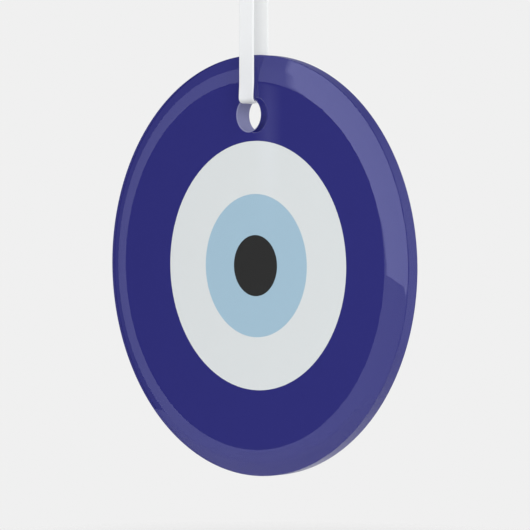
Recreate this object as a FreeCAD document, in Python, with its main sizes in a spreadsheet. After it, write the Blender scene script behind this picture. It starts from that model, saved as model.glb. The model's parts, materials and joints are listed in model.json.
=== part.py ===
import FreeCAD, Part
import math
import os
import Sketcher

# A round glass ornament: a bevelled, drilled disc of clear glass with an eye printed on its back,
# hanging on one flat ribbon. The frame has +Z up. The disc faces -Y and hangs in the XZ plane.
# The origin is the centre of the round hook that the ribbon loop hangs on.

doc = FreeCAD.newDocument("eye_ornament")
sheet = doc.addObject("Spreadsheet::Sheet", "sizes")

TOUCH = 1e-6

DRIVING_SIZES = [
    ("disc_radius", 38.1),
    ("disc_thickness", 3.175),
    ("bevel_width", 4.75),
    ("bevel_depth", 0.6),
    ("rim_arris", 0.1),
    ("hole_radius", 3.0),
    ("hole_height", 27.3),
    ("hole_arris", 0.2),
    ("pupil_radius", 5.55),
    ("iris_radius", 13.0),
    ("white_radius", 22.6),
    ("ink_thickness", 0.04),
    ("coat_thickness", 0.06),
    ("print_margin", 0.12),
    ("coat_margin", 1.3),
    ("hole_margin", 0.22),
    ("ribbon_width", 3.75),
    ("ribbon_thickness", 0.35),
    ("ribbon_gap", 0.3),
    ("hook_radius", 1.6),
    ("loop_height", 66.0),
    ("sway_height", 1.4),
    ("sway_gap", 0.35),
    ("swing_height", 8.0),
    ("swing_gap", 1.0),
    ("twist_height", 30.0),
    ("twist_gap", 0.15),
    ("nod_rise", 16.9),
    ("nod_gap", 1.0),
    ("seam_gap", 0.06),
    ("bight_drop", 2.25),
    ("back_shift", 0.5),
    ("knot_half_width", 3.3),
    ("knot_half_depth", 2.5),
    ("knot_half_height", 2.6),
    ("knot_centre", 4.2),
    ("tail_reach", 11.0),
    ("tail_slant", 2.4),
    ("tail_angle", 26.0),
]

# Values worked out from the driving sizes, so that every piece reads the same numbers.
DERIVED_SIZES = [
    ("half_thickness", "disc_thickness / 2"),
    ("flat_radius", "disc_radius - bevel_width"),
    ("disc_drop", "loop_height + hole_height"),
    ("print_radius", "disc_radius - print_margin"),
    ("coat_radius", "disc_radius - coat_margin"),
    ("print_hole_radius", "hole_radius + hole_margin"),
    ("top_inner", "hook_radius"),
    ("top_outer", "hook_radius + ribbon_thickness"),
    ("disc_inner", "half_thickness + ribbon_gap"),
    ("disc_outer", "half_thickness + ribbon_gap + ribbon_thickness"),
    ("nod_height", "loop_height - nod_rise"),
    ("bight_top", "nod_height + nod_gap"),
    ("spread", "(disc_inner - top_inner) / bight_top"),
    ("bight_face", "loop_height - bight_drop"),
    ("back_lean", "atan(back_shift / bight_top)"),
]


def fill_sheet():
    """Put the sizes in the sheet, one cell each, and give each cell its name."""
    row = 0
    for name, value in DRIVING_SIZES:
        row += 1
        sheet.set(f"B{row}", str(value))
        sheet.setAlias(f"B{row}", name)
    for name, formula in DERIVED_SIZES:
        row += 1
        sheet.set(f"B{row}", "=" + formula)
        sheet.setAlias(f"B{row}", name)
    doc.recompute()


def cell(formula):
    """Turn a formula in sheet names into one that other objects can be bound to."""
    names = [name for name, _ in DRIVING_SIZES + DERIVED_SIZES]
    words = formula.split()
    return " ".join(f"sizes.{word}" if word in names else word for word in words)


def sketch_in(body, name, plane_role):
    """Add an empty sketch to a body, on one of the body's own origin planes."""
    sketch = body.newObject("Sketcher::SketchObject", name)
    plane = [p for p in body.Origin.OriginFeatures if p.Role == plane_role][0]
    sketch.AttachmentSupport = [(plane, "")]
    sketch.MapMode = "FlatFace"
    return sketch


def body_on_plane(label, plane_role):
    """Start a body with an empty sketch on one of its own origin planes."""
    body = doc.addObject("PartDesign::Body", label)
    body.Label = label
    return body, sketch_in(body, label + "_outline", plane_role)


def place_point(sketch, line, end, across, up):
    """Bind one end of a line to its two distances from the sketch's origin."""
    for kind, formula in (("DistanceX", across), ("DistanceY", up)):
        row = sketch.addConstraint(Sketcher.Constraint(kind, line, end, 1.0))
        sketch.setExpression(f"Constraints[{row}]", cell(formula))


def draw_outline(sketch, corners):
    """Draw a closed outline of straight lines through corners given as pairs of formulas."""
    count = len(corners)
    turn = 2 * math.pi / count
    points = [FreeCAD.Vector(math.cos(turn * n), math.sin(turn * n), 0) for n in range(count)]
    for number in range(count):
        sketch.addGeometry(Part.LineSegment(points[number], points[(number + 1) % count]), False)
    for number in range(count):
        following = (number + 1) % count
        sketch.addConstraint(Sketcher.Constraint("Coincident", number, 2, following, 1))
    for number, (across, up) in enumerate(corners):
        place_point(sketch, number, 1, across, up)


def draw_circle(sketch, radius, up):
    """Draw a circle on the sketch's upright axis, with its radius and height as formulas."""
    circle = sketch.addGeometry(Part.Circle(FreeCAD.Vector(0, 1, 0), FreeCAD.Vector(0, 0, 1), 1.0), False)
    row = sketch.addConstraint(Sketcher.Constraint("Radius", circle, 1.0))
    sketch.setExpression(f"Constraints[{row}]", cell(radius))
    place_point(sketch, circle, 3, "0", up)


def pad_both_ways(body, sketch, width):
    """Pad a sketch the same distance to each side of its plane."""
    pad = body.newObject("PartDesign::Pad", body.Label + "_pad")
    pad.Profile = sketch
    pad.SideType = "Symmetric"
    pad.setExpression("Length", cell(width))
    doc.recompute()
    return pad


def hang_at_disc(piece):
    """Move a piece drawn about the disc's centre to where the disc hangs."""
    piece.setExpression("Placement.Base.z", cell("- disc_drop"))


def ribbon_strand(label, side, top, bottom):
    """A straight length of ribbon between two depths below the hook, on the front (-1) or the back (1)."""
    sign = "-" if side < 0 else ""
    corners = []
    for depth, layer in ((top, "0"), (bottom, "0"), (bottom, "ribbon_thickness"), (top, "ribbon_thickness")):
        across = f"{sign} ( top_inner + spread * ( {depth} ) + {layer} )"
        corners.append((across, f"- ( {depth} )"))
    body, sketch = body_on_plane(label, "YZ_Plane")
    draw_outline(sketch, corners)
    pad_both_ways(body, sketch, "ribbon_width")
    if side > 0:
        body.Placement.Rotation = FreeCAD.Rotation(FreeCAD.Vector(0, 1, 0), 1)
        body.setExpression("Placement.Rotation.Angle", cell("back_lean"))
    return body


def ribbon_bight():
    """The ribbon's lowest length: down the front face, through the hole, and up the back face."""
    body, sketch = body_on_plane("ribbon_bight", "YZ_Plane")
    under = "- ( bight_face + ribbon_thickness )"
    draw_outline(sketch, [
        ("- disc_outer", "- bight_top"),
        ("- disc_outer", under),
        ("disc_outer", under),
        ("disc_outer", "- bight_face"),
        ("- disc_inner", "- bight_face"),
        ("- disc_inner", "- bight_top"),
    ])
    front = pad_both_ways(body, sketch, "ribbon_width")
    back_sketch = sketch_in(body, "ribbon_bight_back_outline", "YZ_Plane")
    back_sketch.setExpression("AttachmentOffset.Base.z", cell("- back_shift"))
    draw_outline(back_sketch, [
        ("disc_inner", "- bight_top"),
        ("disc_inner", under),
        ("disc_outer", under),
        ("disc_outer", "- bight_top"),
    ])
    both = pad_both_ways(body, back_sketch, "ribbon_width")
    if both.Shape.Volume <= front.Shape.Volume:
        raise RuntimeError("the back leg did not join the bight")
    return body


def ribbon_top_bend():
    """The half turn of ribbon that sits over the round hook, with a short leg on each side."""
    body, sketch = body_on_plane("ribbon_top_bend", "YZ_Plane")
    normal = FreeCAD.Vector(0, 0, 1)
    for radius, formula in ((1.0, "top_inner"), (2.0, "top_outer")):
        circle = Part.Circle(FreeCAD.Vector(0, 0, 0), normal, radius)
        arc = sketch.addGeometry(Part.ArcOfCircle(circle, 0, math.pi), False)
        row = sketch.addConstraint(Sketcher.Constraint("Radius", arc, radius))
        sketch.setExpression(f"Constraints[{row}]", cell(formula))
        sketch.addConstraint(Sketcher.Constraint("Coincident", arc, 3, -1, 1))
        for end in (1, 2):
            sketch.addConstraint(Sketcher.Constraint("PointOnObject", arc, end, -1))
    for end, side in ((1, 1), (2, -1)):
        inner_foot = FreeCAD.Vector(side * 1.0, -1, 0)
        outer_foot = FreeCAD.Vector(side * 2.0, -1, 0)
        inner_leg = sketch.addGeometry(Part.LineSegment(FreeCAD.Vector(side * 1.0, 0, 0), inner_foot), False)
        foot = sketch.addGeometry(Part.LineSegment(inner_foot, outer_foot), False)
        outer_leg = sketch.addGeometry(Part.LineSegment(outer_foot, FreeCAD.Vector(side * 2.0, 0, 0)), False)
        sketch.addConstraint(Sketcher.Constraint("Coincident", inner_leg, 1, 0, end))
        sketch.addConstraint(Sketcher.Constraint("Coincident", inner_leg, 2, foot, 1))
        sketch.addConstraint(Sketcher.Constraint("Coincident", foot, 2, outer_leg, 1))
        sketch.addConstraint(Sketcher.Constraint("Coincident", outer_leg, 2, 1, end))
        sketch.addConstraint(Sketcher.Constraint("Vertical", inner_leg))
        sketch.addConstraint(Sketcher.Constraint("Vertical", outer_leg))
        sketch.addConstraint(Sketcher.Constraint("Horizontal", foot))
        row = sketch.addConstraint(Sketcher.Constraint("DistanceY", foot, 1, -1.0))
        sketch.setExpression(f"Constraints[{row}]", cell("- ( sway_height - sway_gap )"))
    pad_both_ways(body, sketch, "ribbon_width")
    return body


def knot_lump():
    """The overhand knot as one egg-shaped lump, cut to sit on the ribbon's top bend."""
    lump = doc.addObject("Part::Ellipsoid", "knot_egg")
    lump.setExpression("Radius1", cell("knot_half_height"))
    lump.setExpression("Radius2", cell("knot_half_width"))
    lump.setExpression("Radius3", cell("knot_half_depth"))
    lump.setExpression("Placement.Base.z", cell("knot_centre"))
    lump.Angle1 = -90
    seat = doc.addObject("Part::Cylinder", "knot_seat")
    seat.setExpression("Radius", cell("top_outer"))
    seat.setExpression("Height", cell("knot_half_width * 2"))
    seat.Placement.Rotation = FreeCAD.Rotation(FreeCAD.Vector(0, 1, 0), 90)
    seat.setExpression("Placement.Base.x", cell("- knot_half_width"))
    knot = doc.addObject("Part::Cut", "ribbon_knot")
    knot.Label = "ribbon_knot"
    knot.Base = lump
    knot.Tool = seat
    return knot, lump


def ribbon_tail(label, side, lump):
    """A free end of the ribbon above the knot, cut on a slant, leaning left (-1) or right (1)."""
    strip, sketch = body_on_plane(label + "_strip", "XZ_Plane")
    half = "ribbon_width / 2"
    slant = ("tail_reach", "tail_reach - tail_slant")
    left_top, right_top = slant if side < 0 else slant[::-1]
    draw_outline(sketch, [
        (f"- {half}", "0"),
        (half, "0"),
        (half, right_top),
        (f"- {half}", left_top),
    ])
    pad_both_ways(strip, sketch, "ribbon_thickness")
    strip.setExpression("Placement.Base.z", cell("knot_centre"))
    strip.setExpression("Placement.Base.y", cell(f"{side} * ribbon_thickness"))
    turn = FreeCAD.Rotation(FreeCAD.Vector(0, 1, 0), side * sheet.tail_angle)
    strip.Placement.Rotation = turn
    tail = doc.addObject("Part::Cut", label)
    tail.Label = label
    tail.Base = strip
    tail.Tool = lump
    return tail


def circular_edges(shape, radius):
    """Name the edges that are full circles of one radius."""
    names = []
    for number, edge in enumerate(shape.Edges):
        if isinstance(edge.Curve, Part.Circle) and abs(edge.Curve.Radius - radius) < TOUCH:
            names.append(f"Edge{number + 1}")
    return names


def glass_disc():
    """The glass: a flat back, a wide shallow bevel round the front, softened rim edges and a hole."""
    body, sketch = body_on_plane("glass_disc", "YZ_Plane")
    draw_outline(sketch, [
        ("- half_thickness", "0"),
        ("half_thickness", "0"),
        ("half_thickness", "disc_radius - rim_arris"),
        ("half_thickness - rim_arris", "disc_radius"),
        ("bevel_depth + rim_arris - half_thickness", "disc_radius"),
        ("bevel_depth - half_thickness", "disc_radius - rim_arris"),
        ("- half_thickness", "flat_radius"),
    ])
    blank = body.newObject("PartDesign::Revolution", "glass_blank")
    blank.Profile = sketch
    blank.ReferenceAxis = (sketch, ["H_Axis"])
    blank.Angle = 360
    doc.recompute()
    drill_sketch = sketch_in(body, "glass_drill_outline", "XZ_Plane")
    draw_circle(drill_sketch, "hole_radius", "hole_height")
    drill = body.newObject("PartDesign::Pocket", "glass_drill")
    drill.Profile = drill_sketch
    drill.SideType = "Symmetric"
    drill.setExpression("Length", cell("disc_thickness * 2"))
    doc.recompute()
    if drill.Shape.Volume >= blank.Shape.Volume:
        raise RuntimeError("the hole did not cut the glass")
    arris = body.newObject("PartDesign::Chamfer", "glass_hole_arris")
    arris.Base = (drill, circular_edges(drill.Shape, sheet.hole_radius))
    arris.setExpression("Size", cell("hole_arris"))
    hang_at_disc(body)
    return body


def flat_coat(label, outer, start, thickness, inner=None, cleared=False):
    """A thin flat coat behind the glass, round or ring-shaped, cleared round the drilled hole or not."""
    body, sketch = body_on_plane(label, "XZ_Plane")
    sketch.setExpression("AttachmentOffset.Base.z", cell(f"- ( {start} )"))
    draw_circle(sketch, outer, "0")
    if inner:
        draw_circle(sketch, inner, "0")
    if cleared:
        draw_circle(sketch, "print_hole_radius", "hole_height")
    pad = body.newObject("PartDesign::Pad", label + "_pad")
    pad.Profile = sketch
    pad.Reversed = True
    pad.setExpression("Length", cell(thickness))
    hang_at_disc(body)
    return body


def build_pieces():
    """Make every piece and return them in order."""
    ink = ("half_thickness", "ink_thickness")
    pieces = [
        glass_disc(),
        flat_coat("pupil_print", "pupil_radius", *ink),
        flat_coat("iris_print", "iris_radius", *ink, inner="pupil_radius"),
        flat_coat("white_ring_print", "white_radius", *ink, inner="iris_radius"),
        flat_coat("blue_field_print", "print_radius", *ink, inner="white_radius", cleared=True),
        flat_coat("backing_coat", "coat_radius", "half_thickness + ink_thickness", "coat_thickness",
                  cleared=True),
        ribbon_bight(),
        ribbon_top_bend(),
    ]
    for name, side in (("front", -1), ("back", 1)):
        lengths = [
            ("neck", "sway_height + sway_gap", "swing_height - swing_gap"),
            ("swing_flex", "swing_height - swing_gap", "swing_height + swing_gap"),
            ("upper", "swing_height + swing_gap", "twist_height - twist_gap"),
            ("lower", "twist_height + twist_gap", "nod_height - nod_gap"),
            ("nod_flex", "nod_height - nod_gap", "bight_top - seam_gap"),
        ]
        for part_name, top, bottom in lengths:
            pieces.append(ribbon_strand(f"{name}_ribbon_{part_name}", side, top, bottom))
    knot, lump = knot_lump()
    pieces.append(knot)
    for name, side in (("left", -1), ("right", 1)):
        pieces.append(ribbon_tail(f"ribbon_tail_{name}", side, lump))
    return pieces


def check_document(pieces):
    """Stop if any object failed, or if any piece isn't one valid solid."""
    doc.recompute()
    for thing in doc.Objects:
        if "Invalid" in thing.State or "Error" in thing.State:
            raise RuntimeError(f"{thing.Label} failed to build")
    for piece in pieces:
        if piece.Shape.isNull() or not piece.Shape.isValid() or len(piece.Shape.Solids) != 1:
            raise RuntimeError(f"{piece.Label} is not one valid solid")


def write_pieces(pieces):
    """Write one file for each piece."""
    os.makedirs("parts", exist_ok=True)
    for piece in pieces:
        piece.Shape.exportStep(f"parts/{piece.Label}.step")


fill_sheet()
all_pieces = build_pieces()
check_document(all_pieces)
write_pieces(all_pieces)
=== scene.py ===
import json
import math

import bmesh
import bpy
import numpy as np
from mathutils import Matrix, Vector


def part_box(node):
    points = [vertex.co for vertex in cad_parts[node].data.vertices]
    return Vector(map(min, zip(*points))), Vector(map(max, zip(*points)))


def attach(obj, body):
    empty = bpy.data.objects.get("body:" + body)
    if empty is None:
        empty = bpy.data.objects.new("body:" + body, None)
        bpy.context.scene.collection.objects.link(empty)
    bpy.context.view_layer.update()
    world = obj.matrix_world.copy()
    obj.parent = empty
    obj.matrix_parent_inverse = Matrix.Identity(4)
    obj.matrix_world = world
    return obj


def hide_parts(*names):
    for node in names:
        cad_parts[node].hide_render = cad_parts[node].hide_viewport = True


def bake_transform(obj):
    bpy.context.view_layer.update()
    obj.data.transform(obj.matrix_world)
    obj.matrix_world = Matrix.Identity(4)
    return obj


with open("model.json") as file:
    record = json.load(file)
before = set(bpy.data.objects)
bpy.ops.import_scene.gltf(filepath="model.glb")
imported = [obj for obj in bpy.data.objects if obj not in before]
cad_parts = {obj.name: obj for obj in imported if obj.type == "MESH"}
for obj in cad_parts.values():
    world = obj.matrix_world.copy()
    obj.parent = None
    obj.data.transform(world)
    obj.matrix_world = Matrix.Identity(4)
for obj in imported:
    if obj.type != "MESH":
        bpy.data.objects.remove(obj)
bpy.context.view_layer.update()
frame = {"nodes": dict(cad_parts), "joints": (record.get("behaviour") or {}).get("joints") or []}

# A glass ornament on a ribbon loop. Everything is in metres, in the row's frame: +Z is up,
# the disc faces -Y, and the origin is the centre of the hook that the loop hangs on.
MM = 0.001

# ---------------------------------------------------------------- sizes read from the frame

glass_low, glass_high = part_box("glass_disc")
bight_low, bight_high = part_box("ribbon_bight")
bend_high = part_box("ribbon_top_bend")[1]
joint_at = {joint["name"]: joint["pos_m"] for joint in frame["joints"]}

RADIUS = (glass_high.x - glass_low.x) / 2
DISC_Z = (glass_high.z + glass_low.z) / 2
FRONT_Y = glass_low.y
BACK_Y = glass_high.y
HOLE_Z = joint_at["disc_roll"][2]

# The glass: its bevel and hole, and how far from each corner its rounding starts
BEVEL_WIDTH = 4.75 * MM
BEVEL_DEPTH = 0.6 * MM
LIP_WIDTH = 2.3 * MM
LIP_TILT = math.radians(13)
HOLE_RADIUS = 3.0 * MM
HOLE_ARRIS = 0.2 * MM
CREASE_ROUND = 0.5 * MM
LIP_ROUND = 0.3 * MM
FOOT_ROUND = 0.12 * MM
EDGE_ROUND = 0.1 * MM
# A holding circle lies this far from a rounding, the back is ground this far in from its rounding, and
# the back reaches this far into the ink.
HOLD = 0.04 * MM
GROUND_EDGE = 0.1 * MM
INK_BITE = 0.02 * MM

# The ribbon. A path is how far the middle of its thickness runs from the plane between the strands: on
# the hook it is the middle of the frame's ribbon, and on the glass it is a little further out than that.
RIBBON_WIDTH = bight_high.x * 2
RIBBON_THICK = 0.24 * MM
FRAME_HALF_THICK = 0.175 * MM
STRAND_INSET = 0.13 * MM
HOOK_PATH = bend_high.y - FRAME_HALF_THICK
FACE_PATH = -bight_low.y - STRAND_INSET
BACK_SHIFT = 0.5 * MM


# ---------------------------------------------------------------- small tools

def smooth_step(value, low, high):
    """0 below low, 1 above high, and a smooth turn between."""
    share = np.clip((value - low) / (high - low), 0.0, 1.0)
    return share * share * (3 - 2 * share)


def make_object(name, points, faces, material, smooth=True):
    """A mesh object from points and faces, facing outwards, with one material or a list of them."""
    mesh = bpy.data.meshes.new(name)
    mesh.from_pydata([tuple(p) for p in points], [], faces)
    shape = bmesh.new()
    shape.from_mesh(mesh)
    bmesh.ops.recalc_face_normals(shape, faces=shape.faces)
    shape.to_mesh(mesh)
    shape.free()
    for each in material if isinstance(material, list) else [material]:
        mesh.materials.append(each)
    mesh.polygons.foreach_set("use_smooth", [smooth] * len(mesh.polygons))
    mesh.update()
    piece = bpy.data.objects.new(name, mesh)
    bpy.context.scene.collection.objects.link(piece)
    return piece


def sharpen(piece, degrees):
    """Mark the edges that turn more than this, so that they stay crisp under smooth shading."""
    mesh = piece.data
    mesh.update()
    limit = math.cos(math.radians(degrees))
    owners = {}
    for face in mesh.polygons:
        for key in face.edge_keys:
            owners.setdefault(key, []).append(face.normal)
    sharp = []
    for edge in mesh.edges:
        normals = owners[edge.key]
        sharp.append(len(normals) != 2 or normals[0].dot(normals[1]) < limit)
    attribute = mesh.attributes.get("sharp_edge")
    if attribute is None:
        attribute = mesh.attributes.new("sharp_edge", "BOOLEAN", "EDGE")
    attribute.data.foreach_set("value", sharp)


class Nodes:
    """The node tree of a new material, or of the world, written one node at a time."""

    def __init__(self, name, owner=None):
        self.owner = owner or bpy.data.materials.new(name)
        self.owner.use_nodes = True
        self.tree = self.owner.node_tree
        self.tree.nodes.clear()

    def add(self, kind, settings=None, **inputs):
        """Add a node. Settings are its own fields, and inputs are values or other nodes' outputs."""
        node = self.tree.nodes.new(kind)
        for key, value in (settings or {}).items():
            setattr(node, key, value)
        for key, value in inputs.items():
            self.join(node, key.replace("_", " "), value)
        return node

    def join(self, node, key, value):
        """Feed one input of a node, given by its name or number, from a value or an output."""
        socket = node.inputs[int(key)] if key.isdigit() else node.inputs[key]
        if isinstance(value, bpy.types.NodeSocket):
            self.tree.links.new(value, socket)
        else:
            socket.default_value = value

    def maths(self, operation, first, second=0.0):
        """One sum of two values."""
        node = self.add("ShaderNodeMath", {"operation": operation})
        self.join(node, "0", first)
        self.join(node, "1", second)
        return node.outputs[0]

    def mixed_colour(self, share, first, second):
        """A colour between two, by a share from 0 to 1."""
        node = self.add("ShaderNodeMixRGB")
        self.join(node, "0", share)
        self.join(node, "1", first)
        self.join(node, "2", second)
        return node.outputs[0]

    def ramp(self, value, low, high):
        """A value stretched so that low gives 0 and high gives 1, and held inside them."""
        node = self.add("ShaderNodeMapRange")
        self.join(node, "0", value)
        self.join(node, "1", low)
        self.join(node, "2", high)
        return node.outputs[0]

    def mixed_shader(self, share, first, second):
        """A surface between two, by a share from 0 to 1."""
        node = self.add("ShaderNodeMixShader")
        self.join(node, "0", share)
        self.join(node, "1", first.outputs[0])
        self.join(node, "2", second.outputs[0])
        return node

    def place(self):
        """Where a point is in the object's own space, in metres."""
        return self.add("ShaderNodeTexCoord").outputs["Object"]

    def noise(self, scale, detail):
        """Soft noise in the object's own space, in features per metre."""
        return self.add("ShaderNodeTexNoise", Vector=self.place(), Scale=scale, Detail=detail).outputs[0]

    def bump(self, height, distance, strength=1.0):
        """Turn a height into a bump of this many metres."""
        return self.add("ShaderNodeBump", Height=height, Distance=distance, Strength=strength).outputs[0]

    def finish(self, shader):
        """Connect the surface and hand over the material."""
        self.add("ShaderNodeOutputMaterial", Surface=shader.outputs[0])
        return self.owner


def grey(level):
    """An opaque grey."""
    return (level, level, level, 1.0)


def solid(colour):
    """A colour with its alpha."""
    return tuple(colour) + (1,)


# ---------------------------------------------------------------- materials

def lamps_shine_through(nodes, shader, share=1.0):
    """Let a share of the light through to what lies behind: all of it for glass, which Cycles would
    otherwise treat as opaque to lamps, and less for thin cloth."""
    path = nodes.add("ShaderNodeLightPath")
    lighting = nodes.maths("MAXIMUM", path.outputs["Is Shadow Ray"], path.outputs["Is Diffuse Ray"])
    clear = nodes.add("ShaderNodeBsdfTransparent")
    return nodes.mixed_shader(nodes.maths("MULTIPLY", lighting, share), shader, clear)


def polished_glass():
    """Clear float glass: a near-perfect polish, broken by faint wiping marks and the bevel's waviness."""
    nodes = Nodes("polished_glass")
    wiping = nodes.noise(900, detail=3)
    roughness = nodes.maths("MULTIPLY", nodes.ramp(wiping, 0.45, 0.8), 0.012)
    waviness = nodes.bump(nodes.noise(60, detail=1), 0.001 * MM)
    glass = nodes.add("ShaderNodeBsdfPrincipled", Base_Color=(0.985, 0.995, 1.0, 1), Roughness=roughness,
                      IOR=1.5, Transmission_Weight=1.0, Normal=waviness)
    return nodes.finish(lamps_shine_through(nodes, glass))


def ground_glass():
    """The drilled hole's wall: fine grinding rings that scatter light and show as pale frost, its tone
    tinted with painted blue light from the print. Seen from inside the glass it is painted a dark blue
    shade."""
    nodes = Nodes("ground_glass")
    rings = nodes.add("ShaderNodeTexWave", {"bands_direction": "Y"}, Vector=nodes.place(), Scale=900.0,
                      Distortion=3.0, Detail=2.0)
    grit = nodes.noise(9000, detail=3)
    height = nodes.maths("ADD", nodes.maths("MULTIPLY", rings.outputs["Fac"], 0.4), grit)
    frost_bump = nodes.bump(height, 0.02 * MM)
    # Painted light: the frost's bluish tone stands in for the print's blue light inside the glass.
    tone = nodes.mixed_colour(grit, (0.17, 0.175, 0.31, 1), (0.21, 0.215, 0.37, 1))
    # Painted shade: seen from inside the glass the wall is painted dark blue, a little darker than the
    # print, with no sheen.
    inside = nodes.add("ShaderNodeNewGeometry").outputs["Backfacing"]
    tone = nodes.mixed_colour(inside, tone, (0.015, 0.015, 0.15, 1))
    frost = nodes.add("ShaderNodeBsdfDiffuse", Color=tone, Normal=frost_bump)
    sheen = nodes.add("ShaderNodeBsdfGlossy", Roughness=0.5, Normal=frost_bump)
    sheen_share = nodes.maths("MULTIPLY", nodes.maths("SUBTRACT", 1.0, inside), 0.03)
    return nodes.finish(lamps_shine_through(nodes, nodes.mixed_shader(sheen_share, frost, sheen)))


def printed_ink(name, colour):
    """One field of the print: matt ink in fine printed dots, with a faint cloudiness."""
    nodes = Nodes(name)
    dots = nodes.add("ShaderNodeTexVoronoi", {"feature": "F1"}, Vector=nodes.place(), Scale=6500.0)
    cloud = nodes.noise(120, detail=2)
    amount = nodes.maths("ADD", nodes.maths("MULTIPLY", dots.outputs["Distance"], 0.035),
                         nodes.maths("MULTIPLY", cloud, 0.03))
    lighter = [part * 1.25 + 0.004 for part in colour]
    tone = nodes.mixed_colour(amount, solid(colour), solid(lighter))
    ink = nodes.add("ShaderNodeBsdfPrincipled", Base_Color=tone, Roughness=0.6)
    nodes.join(ink, "Specular IOR Level", 0.0)
    return nodes.finish(ink)


def backing_paint():
    """The white coat over the back of the print: satin, rolled on, with a slight orange-peel skin."""
    nodes = Nodes("backing_paint")
    cloud = nodes.noise(90, detail=3)
    peel = nodes.noise(2600, detail=2)
    grain = nodes.noise(14000, detail=2)
    tone = nodes.mixed_colour(cloud, (0.74, 0.74, 0.72, 1), (0.80, 0.80, 0.79, 1))
    roughness = nodes.maths("ADD", nodes.maths("MULTIPLY", peel, 0.2), 0.28)
    skin = nodes.maths("ADD", peel, nodes.maths("MULTIPLY", grain, 0.25))
    paint = nodes.add("ShaderNodeBsdfPrincipled", Base_Color=tone, Roughness=roughness,
                      Normal=nodes.bump(skin, 0.03 * MM, 0.7))
    return nodes.finish(paint)


# The spacing of the ribbon's threads, all in millimetres
FLOAT_SPACING = 0.16
TWILL_SPACING = 0.24
CORD_SPACING = 0.34
SELVEDGE_START = 0.42
SELVEDGE_FULL = 0.30


def satin_ribbon():
    """White woven satin. The UV map runs across the ribbon in u and along it in v, both in millimetres."""
    nodes = Nodes("satin_ribbon")
    woven = nodes.add("ShaderNodeUVMap", {"uv_map": "weave"}).outputs[0]
    split = nodes.add("ShaderNodeSeparateXYZ", Vector=woven)
    across, along = split.outputs[0], split.outputs[1]
    # The long satin floats run along the ribbon, and the weft shows between them as a fine twill.
    floats = nodes.maths("SINE", nodes.maths("MULTIPLY", across, 2 * math.pi / FLOAT_SPACING))
    slope = nodes.maths("ADD", nodes.maths("MULTIPLY", across, 0.8), along)
    twill = nodes.maths("SINE", nodes.maths("MULTIPLY", slope, 2 * math.pi / TWILL_SPACING))
    thread = nodes.maths("ADD", nodes.maths("MULTIPLY", floats, 0.6), nodes.maths("MULTIPLY", twill, 0.4))
    # The selvedge is a corded edge, a third of a millimetre wide.
    from_middle = nodes.maths("ABSOLUTE", across)
    half = RIBBON_WIDTH / MM / 2
    selvedge = nodes.ramp(from_middle, half - SELVEDGE_START, half - SELVEDGE_FULL)
    cord = nodes.maths("SINE", nodes.maths("MULTIPLY", along, 2 * math.pi / CORD_SPACING))
    cord_height = nodes.maths("ADD", nodes.maths("MULTIPLY", cord, 0.5), 1.2)
    edge_height = nodes.maths("MULTIPLY", cord_height, selvedge)
    plain = nodes.maths("SUBTRACT", 1.0, selvedge)
    height = nodes.maths("ADD", nodes.maths("MULTIPLY", thread, plain), edge_height)
    slub = nodes.noise(1400, detail=3)
    # Painted shade: the weave is painted lighter on its raised threads and darker in the hollows between
    # them.
    painted_weave_shade = nodes.ramp(height, -1.2, 1.6)
    tone = nodes.mixed_colour(painted_weave_shade, (0.83, 0.84, 0.835, 1), (0.905, 0.915, 0.91, 1))
    tone = nodes.mixed_colour(nodes.maths("MULTIPLY", slub, 0.12), tone, (0.72, 0.74, 0.75, 1))
    roughness = nodes.maths("ADD", nodes.maths("MULTIPLY", slub, 0.12), 0.36)
    satin = nodes.add("ShaderNodeBsdfPrincipled", Base_Color=tone, Roughness=roughness,
                      Normal=nodes.bump(height, 0.012 * MM, 0.8))
    nodes.join(satin, "Sheen Weight", 0.25)
    nodes.join(satin, "Sheen Roughness", 0.4)
    nodes.join(satin, "Specular IOR Level", 0.35)
    glow = nodes.add("ShaderNodeBsdfTranslucent", Color=(0.81, 0.83, 0.83, 1))
    cloth = nodes.mixed_shader(0.22, satin, glow)
    return nodes.finish(lamps_shine_through(nodes, cloth, share=0.5))


GLASS = polished_glass()
GROUND = ground_glass()
BACKING = backing_paint()
SATIN = satin_ribbon()
INKS = {
    "pupil_print": printed_ink("pupil_ink", (0.029, 0.029, 0.029)),
    "iris_print": printed_ink("iris_ink", (0.343, 0.494, 0.603)),
    "white_ring_print": printed_ink("white_ink", (0.667, 0.694, 0.70)),
    "blue_field_print": printed_ink("blue_ink", (0.028, 0.028, 0.171)),
}


# ---------------------------------------------------------------- the glass

AROUND = 288
BLEND_CIRCLES = 9
CORNER_STEPS = 6
FOOT_STEPS = 8
SHARP_DEGREES = 20


def rounded_corner(before, corner, after, trim, steps=CORNER_STEPS):
    """Points that round a profile's corner, starting and ending the trim length away from it."""
    corner = np.array(corner, float)
    start = corner + trim * (np.array(before) - corner) / np.linalg.norm(np.array(before) - corner)
    end = corner + trim * (np.array(after) - corner) / np.linalg.norm(np.array(after) - corner)
    shares = np.linspace(0, 1, steps + 1)
    return [(1 - t) ** 2 * start + 2 * t * (1 - t) * corner + t * t * end for t in shares]


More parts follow.
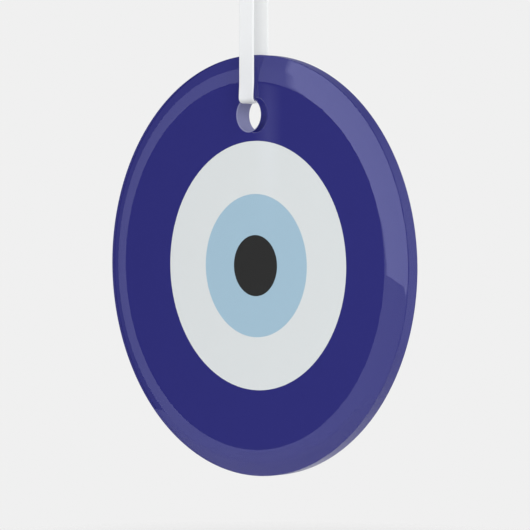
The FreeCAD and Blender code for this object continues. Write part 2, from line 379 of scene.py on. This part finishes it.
def glass_circles():
    """The glass as a chain of circles (centre height, radius, depth, is it ground) that closes on itself.
    It runs over the front from the rim to the hole, through the hole, and over the back to the rim.
    A holding circle beside each rounded edge keeps the flat beyond it flat under smooth shading."""
    front, back = FRONT_Y, BACK_Y + INK_BITE
    flat = RADIUS - BEVEL_WIDTH
    crease_start = flat - CREASE_ROUND
    hole_edge = HOLE_RADIUS + HOLE_ARRIS
    # The front face, in circles that shift from the disc's centre to the hole's.
    circles = [(DISC_Z, crease_start, front, False)]
    for share in np.linspace(0, 1, BLEND_CIRCLES):
        centre = DISC_Z + share * (HOLE_Z - DISC_Z)
        start, end = crease_start - HOLD, hole_edge + HOLD
        circles.append((centre, start + share * (end - start), front, False))
    # The hole, which is ground from arris to arris.
    hole = [(hole_edge, front), (HOLE_RADIUS, front), (HOLE_RADIUS, back), (hole_edge, back)]
    front_arris = rounded_corner(hole[0], hole[1], hole[2], HOLE_ARRIS)
    back_arris = rounded_corner(hole[1], hole[2], hole[3], HOLE_ARRIS)
    depths = np.linspace(front_arris[-1][1], back_arris[0][1], BLEND_CIRCLES)[1:-1]
    wall = [(HOLE_RADIUS, y) for y in depths]
    circles += [(HOLE_Z, radius, y, True) for radius, y in front_arris + wall + back_arris]
    # The back face, which is ground only beside its outer edge.
    back_edge = RADIUS - EDGE_ROUND
    for share in np.linspace(0, 1, BLEND_CIRCLES):
        centre = HOLE_Z + share * (DISC_Z - HOLE_Z)
        start, end = hole_edge + HOLD, back_edge - GROUND_EDGE
        circles.append((centre, start + share * (end - start), back, share == 1))
    # The rim and the bevel, which is a little steeper on its outer lip.
    lip_start = (RADIUS - LIP_WIDTH, front + BEVEL_DEPTH * (1 - LIP_WIDTH / BEVEL_WIDTH))
    foot = (RADIUS, lip_start[1] + LIP_WIDTH * math.tan(LIP_TILT))
    ground_until = back - 1.01 * EDGE_ROUND
    rim = [(back_edge - HOLD, back)]
    rim += rounded_corner((flat, back), (RADIUS, back), foot, EDGE_ROUND)
    rim += [(RADIUS, back - EDGE_ROUND - HOLD), (RADIUS, foot[1] + FOOT_ROUND + HOLD)]
    rim += rounded_corner((RADIUS, back), foot, lip_start, FOOT_ROUND, FOOT_STEPS)
    rim += rounded_corner(foot, lip_start, (flat, front), LIP_ROUND)
    rim += rounded_corner(lip_start, (flat, front), (0, front), CREASE_ROUND)[:-1]
    circles += [(DISC_Z, radius, y, y > ground_until) for radius, y in rim]
    return circles


def make_glass():
    """The bevelled, drilled plate."""
    circles = glass_circles()
    turn = np.linspace(0, 2 * math.pi, AROUND, endpoint=False)
    points, faces, ground = [], [], []
    for centre, radius, y, _ in circles:
        points += [(radius * math.cos(a), y, centre + radius * math.sin(a)) for a in turn]
    for row in range(len(circles)):
        after = (row + 1) % len(circles)
        for step in range(AROUND):
            beside = (step + 1) % AROUND
            faces.append((row * AROUND + step, row * AROUND + beside, after * AROUND + beside,
                          after * AROUND + step))
            ground.append(circles[row][3] and circles[after][3])
    plate = make_object("bevelled_glass", points, faces, [GLASS, GROUND])
    plate.data.polygons.foreach_set("material_index", [int(g) for g in ground])
    sharpen(plate, SHARP_DEGREES)
    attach(plate, "disc")
    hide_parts("glass_disc")


# ---------------------------------------------------------------- the ribbon

class Station:
    """One cross-section of the ribbon: its middle, the direction across it, and the direction out of
    its face. Cup is 0 for flat, 1 for as round as the hole's wall, and negative to curl inwards. Width
    is a share of the full width, fold is the height of its pleats, and skew slants the section."""

    def __init__(self, middle, across, out, cup=0.0, width=1.0, fold=0.0, skew=0.0):
        self.middle = np.array(middle, float)
        self.across = np.array(across, float)
        self.out = np.array(out, float)
        self.cup = cup
        self.width = width
        self.fold = fold
        self.skew = skew
        self.length = 0.0


CUP_RADIUS = HOLE_RADIUS - RIBBON_THICK / 2
HOLE_CUP = 0.25
COLUMNS = 18
CREASE_DEGREES = 50
STATION_STEP = 0.8 * MM


def section_points(station, along):
    """The closed outline of one cross-section, top side first, and how far across each point is."""
    half = RIBBON_WIDTH / 2
    shares = np.sin(np.linspace(-1, 1, COLUMNS) * math.pi / 2)
    # The two edges are round, with a slightly thicker selvedge just inside them.
    thickness = RIBBON_THICK / 2 * np.sqrt(1 - 0.97 * shares ** 8)
    thickness *= 1 + 0.16 * smooth_step(np.abs(shares), 0.82, 0.92)
    bend = shares * half / CUP_RADIUS
    aside = (1 - station.cup) * shares * half + station.cup * CUP_RADIUS * np.sin(bend)
    rise = station.cup * CUP_RADIUS * (1 - np.cos(bend))
    rise = rise + station.fold * np.cos(1.5 * math.pi * shares)
    points = []
    for sign, order in ((1, 1), (-1, -1)):
        for column in range(COLUMNS)[::order]:
            point = station.middle + station.across * (aside[column] * station.width)
            point = point + station.out * (rise[column] + sign * thickness[column])
            points.append(point + along * (station.skew * shares[column]))
    return points, np.concatenate([shares, shares[::-1]]) * half


def make_ribbon(name, stations, closed=False):
    """A length of ribbon through its stations, as one closed solid with its weave map."""
    count = len(stations)
    middles = np.array([s.middle for s in stations])
    if closed:
        tangents = np.roll(middles, -1, axis=0) - np.roll(middles, 1, axis=0)
    else:
        tangents = np.gradient(middles, axis=0)
    tangents /= np.linalg.norm(tangents, axis=1)[:, None]
    around = 2 * COLUMNS
    points, weave = [], []
    for station, tangent in zip(stations, tangents):
        ring, across = section_points(station, tangent)
        points += ring
        weave += [(across[i] / MM, station.length / MM) for i in range(around)]
    faces = []
    for row in range(count if closed else count - 1):
        after = (row + 1) % count
        for step in range(around):
            beside = (step + 1) % around
            faces.append((row * around + step, row * around + beside, after * around + beside,
                          after * around + step))
    if not closed:
        faces.append(tuple(range(around))[::-1])
        faces.append(tuple((count - 1) * around + step for step in range(around)))
    piece = make_object(name, points, faces, SATIN)
    layer = piece.data.uv_layers.new(name="weave")
    corners = np.zeros(len(piece.data.loops), np.int32)
    piece.data.loops.foreach_get("vertex_index", corners)
    layer.data.foreach_set("uv", np.array(weave, np.float32)[corners].ravel())
    sharpen(piece, CREASE_DEGREES)
    return piece


def measured(stations):
    """Give each station its length along the ribbon."""
    length = 0.0
    before = stations[0].middle
    for station in stations:
        length += float(np.linalg.norm(station.middle - before))
        station.length = length
        before = station.middle
    return stations


def strand_middle(side, z):
    """Where the middle of the front (-1) or back (1) strand is at height z, away from its bends."""
    down = min(1.0, z / bight_high.z)
    y = side * (HOOK_PATH + (FACE_PATH - HOOK_PATH) * down)
    x = -BACK_SHIFT * down if side > 0 else 0.0
    return np.array((x, y, z))


def strand(side, top, bottom):
    """Straight stations between two heights, top first."""
    count = max(2, int(round((top - bottom) / STATION_STEP)) + 1)
    heights = np.linspace(top, bottom, count)
    return [Station(strand_middle(side, z), (1, 0, 0), (0, side, 0)) for z in heights]


# Heights where one length of ribbon ends and the next begins. Each lies where both follow one body.
SWAY_Z = joint_at["ribbon_sway"][2]
SWING_Z = joint_at["ribbon_swing"][2]
NOD_Z = joint_at["disc_nod"][2]
NECK_TOP = SWAY_Z - 2.4 * MM
TWIST_TOP = SWING_Z - 6.0 * MM
NOD_TOP = NOD_Z + 7.0 * MM


def blend_about(piece):
    """Bake the piece's placement into its mesh; it is not bent about the hinge."""
    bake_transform(piece)


def make_strands():
    """The lengths of ribbon that cross the swing and twist hinges, front and back."""
    for name, side in (("front", -1), ("back", 1)):
        neck = make_ribbon(f"ribbon_{name}_neck", measured(strand(side, NECK_TOP, TWIST_TOP)))
        blend_about(neck)
        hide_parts(f"{name}_ribbon_neck", f"{name}_ribbon_swing_flex")
        run = make_ribbon(f"ribbon_{name}_run", measured(strand(side, TWIST_TOP, NOD_TOP)))
        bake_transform(run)
        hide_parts(f"{name}_ribbon_upper", f"{name}_ribbon_lower", f"{name}_ribbon_nod_flex")


def bight_stations():
    """Down the front face, over the edge of the hole, through it, and up the back face. In the hole
    the ribbon stays nearly flat, so its two edges bear on the round wall and its middle spans the top."""
    half = RIBBON_WIDTH / 2
    edge_drop = HOLE_CUP * CUP_RADIUS * (1 - math.cos(half / CUP_RADIUS))
    wall_gap = 0.06 * MM
    edge_touch = HOLE_Z + math.sqrt(HOLE_RADIUS ** 2 - half ** 2)
    through_z = edge_touch - RIBBON_THICK / 2 - wall_gap + edge_drop
    turn_radius = 0.72 * MM
    turn_z = through_z + turn_radius
    cupping_length = 3 * MM

    def beside_glass(side, z):
        """A station on a face of the glass, which starts to cup as it comes down to the hole."""
        near = 1 - float(smooth_step(z, turn_z, turn_z + cupping_length))
        return Station(strand_middle(side, z), (1, 0, 0), (0, side, 0), cup=HOLE_CUP * near)

    heights = np.linspace(NOD_TOP, turn_z, 34)
    quarter = np.linspace(0, math.pi / 2, 9)[1:]
    front = [beside_glass(-1, z) for z in heights]
    for angle in quarter:
        y = -FACE_PATH + turn_radius * (1 - math.cos(angle))
        z = turn_z - turn_radius * math.sin(angle)
        out = (0, -math.cos(angle), -math.sin(angle))
        front.append(Station((0, y, z), (1, 0, 0), out, cup=HOLE_CUP))
    inside = []
    for share in np.linspace(0, 1, 12)[1:]:
        y = (2 * share - 1) * (FACE_PATH - turn_radius)
        inside.append(Station((-BACK_SHIFT * share, y, through_z), (1, 0, 0), (0, 0, -1), cup=HOLE_CUP))
    back = []
    for angle in quarter:
        y = FACE_PATH - turn_radius * (1 - math.sin(angle))
        z = turn_z - turn_radius * math.cos(angle)
        out = (0, math.sin(angle), -math.cos(angle))
        back.append(Station((-BACK_SHIFT, y, z), (1, 0, 0), out, cup=HOLE_CUP))
    back += [beside_glass(1, z) for z in heights[::-1][1:]]
    return measured(front + inside + back)


def make_bight():
    """The lowest length, which crosses the nod hinge on both sides and carries the glass."""
    piece = make_ribbon("ribbon_through_hole", bight_stations())
    blend_about(piece)
    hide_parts("ribbon_bight")


KNOT_MIDDLE = 4.2 * MM
# How much narrower the ribbon is where it is gathered, and how high its pleats stand.
GATHER = 0.42
PLEAT = 0.28 * MM


def top_stations(side):
    """From the neck up round the hook, then gathered upright into the knot."""
    radius = HOOK_PATH
    return_radius = 0.6 * MM
    leave = math.radians(71.3)
    stations = [Station(strand_middle(side, z), (1, 0, 0), (0, side, 0))
                for z in np.linspace(NECK_TOP, 0, 9)]
    for angle in np.linspace(0, leave, 12)[1:]:
        out = (0, side * math.cos(angle), math.sin(angle))
        stations.append(Station(radius * np.array(out), (1, 0, 0), out))
    centre = (radius + return_radius) * np.array((0, side * math.cos(leave), math.sin(leave)))
    for angle in np.linspace(leave, 0, 8)[1:]:
        out = np.array((0, side * math.cos(angle), math.sin(angle)))
        stations.append(Station(centre - return_radius * out, (1, 0, 0), out))
    top = stations[-1].middle
    for rise in np.linspace(0, 2.2 * MM, 7)[1:]:
        stations.append(Station(top + np.array((0, 0, rise)), (1, 0, 0), (0, side, 0)))
    for station in stations:
        gathered = float(smooth_step(station.middle[2], radius * 0.7, KNOT_MIDDLE - 0.6 * MM))
        station.width = 1 - GATHER * gathered
        station.fold = side * PLEAT * gathered
    return measured(stations)


def make_top():
    """The two lengths that wrap the hook and go up into the knot."""
    for name, side in (("front", -1), ("back", 1)):
        piece = make_ribbon(f"ribbon_{name}_hook_wrap", top_stations(side))
        blend_about(piece)
        if side < 0:
            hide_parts("ribbon_top_bend")


def wrap_stations(half_x, half_y, tilt, lift, phase):
    """One turn of ribbon round the knot: a closed band that leans as it goes round."""
    stations = []
    for angle in np.linspace(0, 2 * math.pi, 64, endpoint=False):
        middle = np.array((half_x * math.cos(angle), half_y * math.sin(angle),
                           KNOT_MIDDLE + lift + tilt * math.sin(angle - phase)))
        tangent = np.array((-half_x * math.sin(angle), half_y * math.cos(angle),
                            tilt * math.cos(angle - phase)))
        tangent /= np.linalg.norm(tangent)
        out = np.array((math.cos(angle) / half_x, math.sin(angle) / half_y, 0))
        out -= tangent * out.dot(tangent)
        out /= np.linalg.norm(out)
        width = 0.72 + 0.05 * math.sin(2 * angle + phase)
        fold = 0.05 * MM * math.sin(3 * angle + phase)
        stations.append(Station(middle, np.cross(tangent, out), out, cup=-0.75, width=width, fold=fold))
    return measured(stations)


def make_knot():
    """An overhand knot: two crossing turns of ribbon drawn tight over the gathered strands."""
    inner = wrap_stations(half_x=2.25 * MM, half_y=1.5 * MM, tilt=-0.8 * MM, lift=0.35 * MM, phase=0.4)
    outer = wrap_stations(half_x=2.6 * MM, half_y=1.85 * MM, tilt=1.0 * MM, lift=-0.15 * MM, phase=-0.5)
    under = make_ribbon("ribbon_knot_under_turn", inner, closed=True)
    over = make_ribbon("ribbon_knot_over_turn", outer, closed=True)
    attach(under, "hanger")
    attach(over, "hanger")
    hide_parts("ribbon_knot")


def tail_stations(side):
    """A free end that leaves the knot gathered, opens out, leans away and is cut on a slant."""
    stations = []
    place = np.array((side * 0.25 * MM, side * 0.3 * MM, KNOT_MIDDLE + 0.5 * MM))
    steps = 30
    reach = 9.6 * MM
    slant = 1.0 * MM
    for step in range(steps + 1):
        share = step / steps
        lean = side * math.radians(10 + 30 * share - 12 * share * share)
        curl = side * math.radians(18) * math.sin(2.6 * share + 0.4)
        upright = math.cos(lean)
        heading = np.array((math.sin(lean), math.sin(curl) * upright, math.cos(curl) * upright))
        twist = math.radians(16) * share * side
        across = np.array((math.cos(lean), math.sin(twist), -math.sin(lean)))
        across -= heading * across.dot(heading)
        across /= np.linalg.norm(across)
        out = np.cross(heading, across)
        gathered = 1 - float(smooth_step(share, 0.05, 0.5))
        near_cut = float(smooth_step(share, 0.6, 1.0))
        stations.append(Station(place, across, out, cup=0.25 * (1 - share), width=1 - GATHER * gathered,
                                fold=PLEAT * gathered, skew=side * slant * near_cut))
        place = place + heading * reach / steps
    return measured(stations)


def make_tails():
    """The two cut ends above the knot."""
    for name, side in (("left", -1), ("right", 1)):
        piece = make_ribbon(f"ribbon_end_{name}", tail_stations(side))
        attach(piece, "hanger")
        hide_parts(f"ribbon_tail_{name}")


# ---------------------------------------------------------------- the printed eye and its backing

def dress_print():
    """Give the print and the coat behind it their materials. Their shapes come from the frame."""
    for node, material in INKS.items():
        frame["nodes"][node].data.materials.clear()
        frame["nodes"][node].data.materials.append(material)
    coat = frame["nodes"]["backing_coat"]
    coat.data.materials.clear()
    coat.data.materials.append(BACKING)


# ---------------------------------------------------------------- stage, lights and camera

# Brightness of the backdrop and of the even light, and the colour of the room that reflections see
PALE = 0.871
FILL = 0.66
MIRRORED = np.array((0.84, 0.87, 1.29))
# Where the room is bright, as azimuth and elevation, and how far round it stays bright
BRIGHT_SIDE = (-30, -2)
BRIGHT_FULL = math.radians(18)
BRIGHT_ENDS = math.radians(48)


def towards(azimuth, elevation):
    """The direction from the object to a place round it. Azimuth 0 is the front, 90 is the right side."""
    a, e = math.radians(azimuth), math.radians(elevation)
    return np.array((math.sin(a) * math.cos(e), -math.cos(a) * math.cos(e), math.sin(e)))


def make_world():
    """A pale backdrop for the camera, an even light for the object, and a bluish room for reflections
    that is bright on two walls: to the left of the front, and opposite."""
    world = bpy.data.worlds.new("studio")
    bpy.context.scene.world = world
    nodes = Nodes("studio", world)
    path = nodes.add("ShaderNodeLightPath")
    reflected = nodes.maths("SUBTRACT", path.outputs["Is Glossy Ray"], path.outputs["Is Transmission Ray"])
    reflected = nodes.ramp(reflected, 0.0, 1.0)
    heading = nodes.add("ShaderNodeTexCoord").outputs["Generated"]
    facing = nodes.add("ShaderNodeVectorMath", {"operation": "DOT_PRODUCT"})
    nodes.join(facing, "0", heading)
    nodes.join(facing, "1", tuple(towards(*BRIGHT_SIDE)))
    facing = nodes.maths("ABSOLUTE", facing.outputs["Value"])
    bright = nodes.ramp(facing, math.cos(BRIGHT_ENDS), math.cos(BRIGHT_FULL))
    room = nodes.mixed_colour(bright, solid(0.3 * MIRRORED), solid(MIRRORED))
    lit = nodes.mixed_colour(reflected, grey(FILL), room)
    seen = nodes.mixed_colour(path.outputs["Is Camera Ray"], lit, grey(PALE))
    background = nodes.add("ShaderNodeBackground", Color=seen)
    output = nodes.add("ShaderNodeOutputWorld")
    nodes.join(output, "Surface", background.outputs[0])


def make_floor():
    """A plain pale floor below the object that fades into the backdrop."""
    nodes = Nodes("floor_paint")
    far = nodes.add("ShaderNodeVectorMath", {"operation": "LENGTH"}, Vector=nodes.place()).outputs["Value"]
    paper = nodes.noise(700, detail=3)
    tone = nodes.mixed_colour(paper, grey(0.86), grey(0.88))
    matte = nodes.add("ShaderNodeBsdfDiffuse", Color=tone)
    clear = nodes.add("ShaderNodeBsdfTransparent")
    fading = nodes.ramp(far, 1.2 * RADIUS, 3.2 * RADIUS)
    material = nodes.finish(nodes.mixed_shader(fading, matte, clear))
    rings, around = 16, 96
    reach = 3.4 * RADIUS
    drop = 0.6 * RADIUS
    points = [(0, 0, 0)]
    for ring in range(1, rings + 1):
        for step in range(around):
            angle = 2 * math.pi * step / around
            out = reach * ring / rings
            points.append((out * math.cos(angle), out * math.sin(angle), 0))
    faces = [(0, 1 + step, 1 + (step + 1) % around) for step in range(around)]
    for ring in range(rings - 1):
        for step in range(around):
            beside = (step + 1) % around
            low, high = 1 + ring * around, 1 + (ring + 1) * around
            faces.append((low + step, high + step, high + beside, low + beside))
    floor = make_object("floor", points, faces, material)
    floor.location = (0, 0, glass_low.z - drop)


def make_card(name, corners, colour, distance, fade=0.1):
    """A flat studio card that only reflections see. Its corners are given as azimuth and elevation.
    It fades out over the given share of its half width and half height."""
    facing = sum(towards(*corner) for corner in corners)
    facing /= np.linalg.norm(facing)
    right = np.cross((0, 0, 1), facing)
    right /= np.linalg.norm(right)
    up = np.cross(facing, right)
    flat = []
    for corner in corners:
        heading = towards(*corner)
        place = heading * distance / heading.dot(facing)
        flat.append((float(place.dot(right)), float(place.dot(up))))
    middle = (np.max(flat, axis=0) + np.min(flat, axis=0)) / 2
    half = (np.max(flat, axis=0) - np.min(flat, axis=0)) / 2
    nodes = Nodes(name)
    split = nodes.add("ShaderNodeSeparateXYZ", Vector=nodes.place())
    wide = nodes.ramp(nodes.maths("ABSOLUTE", split.outputs[0]), half[0], half[0] * (1 - fade))
    tall = nodes.ramp(nodes.maths("ABSOLUTE", split.outputs[2]), half[1], half[1] * (1 - fade))
    glow = nodes.add("ShaderNodeEmission", Color=solid(colour))
    clear = nodes.add("ShaderNodeBsdfTransparent")
    paint = nodes.finish(nodes.mixed_shader(nodes.maths("MULTIPLY", wide, tall), clear, glow))
    points = [(a - middle[0], 0, b - middle[1]) for a, b in flat]
    card = make_object(name, points, [tuple(range(len(points)))], paint, smooth=False)
    card.location = np.array((0, FRONT_Y, DISC_Z)) + facing * distance + right * middle[0] + up * middle[1]
    card.rotation_euler = Matrix((right, -facing, up)).transposed().to_euler()
    card.visible_camera = False
    card.visible_diffuse = False
    card.visible_transmission = False
    card.visible_volume_scatter = False
    card.visible_shadow = False


def make_lamp(name, azimuth, elevation, size, power, distance):
    """A soft square lamp aimed at the disc. It lights, and reflections don't see it."""
    data = bpy.data.lights.new(name, "AREA")
    data.shape = "SQUARE"
    data.size = size
    data.energy = power
    lamp = bpy.data.objects.new(name, data)
    bpy.context.scene.collection.objects.link(lamp)
    back = towards(azimuth, elevation)
    lamp.location = np.array((0, 0, DISC_Z)) + distance * back
    lamp.rotation_euler = Vector(-back).to_track_quat("-Z", "Y").to_euler()
    lamp.visible_glossy = False
    lamp.visible_camera = False


VIEW_AZIMUTH = 45.1
VIEW_ELEVATION = 1.35
VIEW_DISTANCE = 12.6 * RADIUS
# How much of the picture's width one disc radius fills, and where the disc sits from its middle.
RADIUS_SHARE = 0.3965
DISC_LEFT = 0.048
DISC_DOWN = 0.003


def make_camera():
    """A long lens at the disc's height, turned to its right-hand side."""
    data = bpy.data.cameras.new("camera")
    data.sensor_width = 36.0
    data.lens = data.sensor_width * RADIUS_SHARE * VIEW_DISTANCE / RADIUS
    data.clip_start = 0.01
    data.clip_end = 50.0
    camera = bpy.data.objects.new("camera", data)
    bpy.context.scene.collection.objects.link(camera)
    back = Vector(towards(VIEW_AZIMUTH, VIEW_ELEVATION))
    turn = (-back).to_track_quat("-Z", "Y")
    right = turn @ Vector((1, 0, 0))
    up = turn @ Vector((0, 1, 0))
    aim = Vector((0, 0, DISC_Z)) + right * (DISC_LEFT * RADIUS) + up * (DISC_DOWN * RADIUS)
    camera.location = aim + back * VIEW_DISTANCE
    camera.rotation_mode = "QUATERNION"
    camera.rotation_quaternion = turn
    bpy.context.scene.camera = camera


# The corners of the reflection cards, as azimuth and elevation in degrees. The softbox lights the
# bevel's right half, the strip makes the upright band on the face, and the drape keeps the left lip dark.
SOFTBOX_CORNERS = [(-41.7, 28), (-41.7, 6), (-29, 0), (-27.2, -1.9), (-25.2, -2.6), (-14.6, -3.3),
                   (-11.8, -4.0), (-10.9, -5.4), (-6, -6.5), (-6, 28)]
STRIP_CORNERS = [(-45.25, 8.0), (-45.25, -0.5), (-44.25, -0.5), (-44.25, 8.0)]
DRAPE_CORNERS = [(-50, 18.5), (-54, 17.5), (-61, 13.5), (-65.5, 7), (-68, -2), (-67.5, -9), (-64, -16),
                 (-100, -16), (-100, 45), (-50, 45)]
# The black flag is an ellipse where the flat face mirrors the camera's direction.
FLAG_HALF_WIDE = 10.5
FLAG_HALF_TALL = 11.0


def make_cards():
    """The cards that the glass reflects."""
    turns = np.linspace(0, 2 * math.pi, 48, endpoint=False)
    flag_corners = [(-VIEW_AZIMUTH + FLAG_HALF_WIDE * math.cos(turn),
                     -VIEW_ELEVATION + FLAG_HALF_TALL * math.sin(turn)) for turn in turns]
    make_card("black_flag", flag_corners, (0.0, 0.0, 0.0), distance=0.8, fade=0.01)
    make_card("softbox", SOFTBOX_CORNERS, 2.5 * MIRRORED, distance=0.9)
    make_card("light_strip", STRIP_CORNERS, 0.5 * MIRRORED, distance=0.7, fade=0.9)
    make_card("dark_drape", DRAPE_CORNERS, 0.12 * MIRRORED, distance=0.9, fade=0.04)


def make_stage():
    """Everything round the object."""
    make_world()
    make_floor()
    make_cards()
    make_lamp("key", azimuth=42, elevation=28, size=0.7, power=6.1, distance=0.9)
    make_camera()
    scene = bpy.context.scene
    scene.view_settings.view_transform = "Standard"
    scene.cycles.caustics_refractive = False
    scene.cycles.caustics_reflective = False


# ---------------------------------------------------------------- build

make_glass()
dress_print()
make_top()
make_strands()
make_bight()
make_knot()
make_tails()
make_stage()
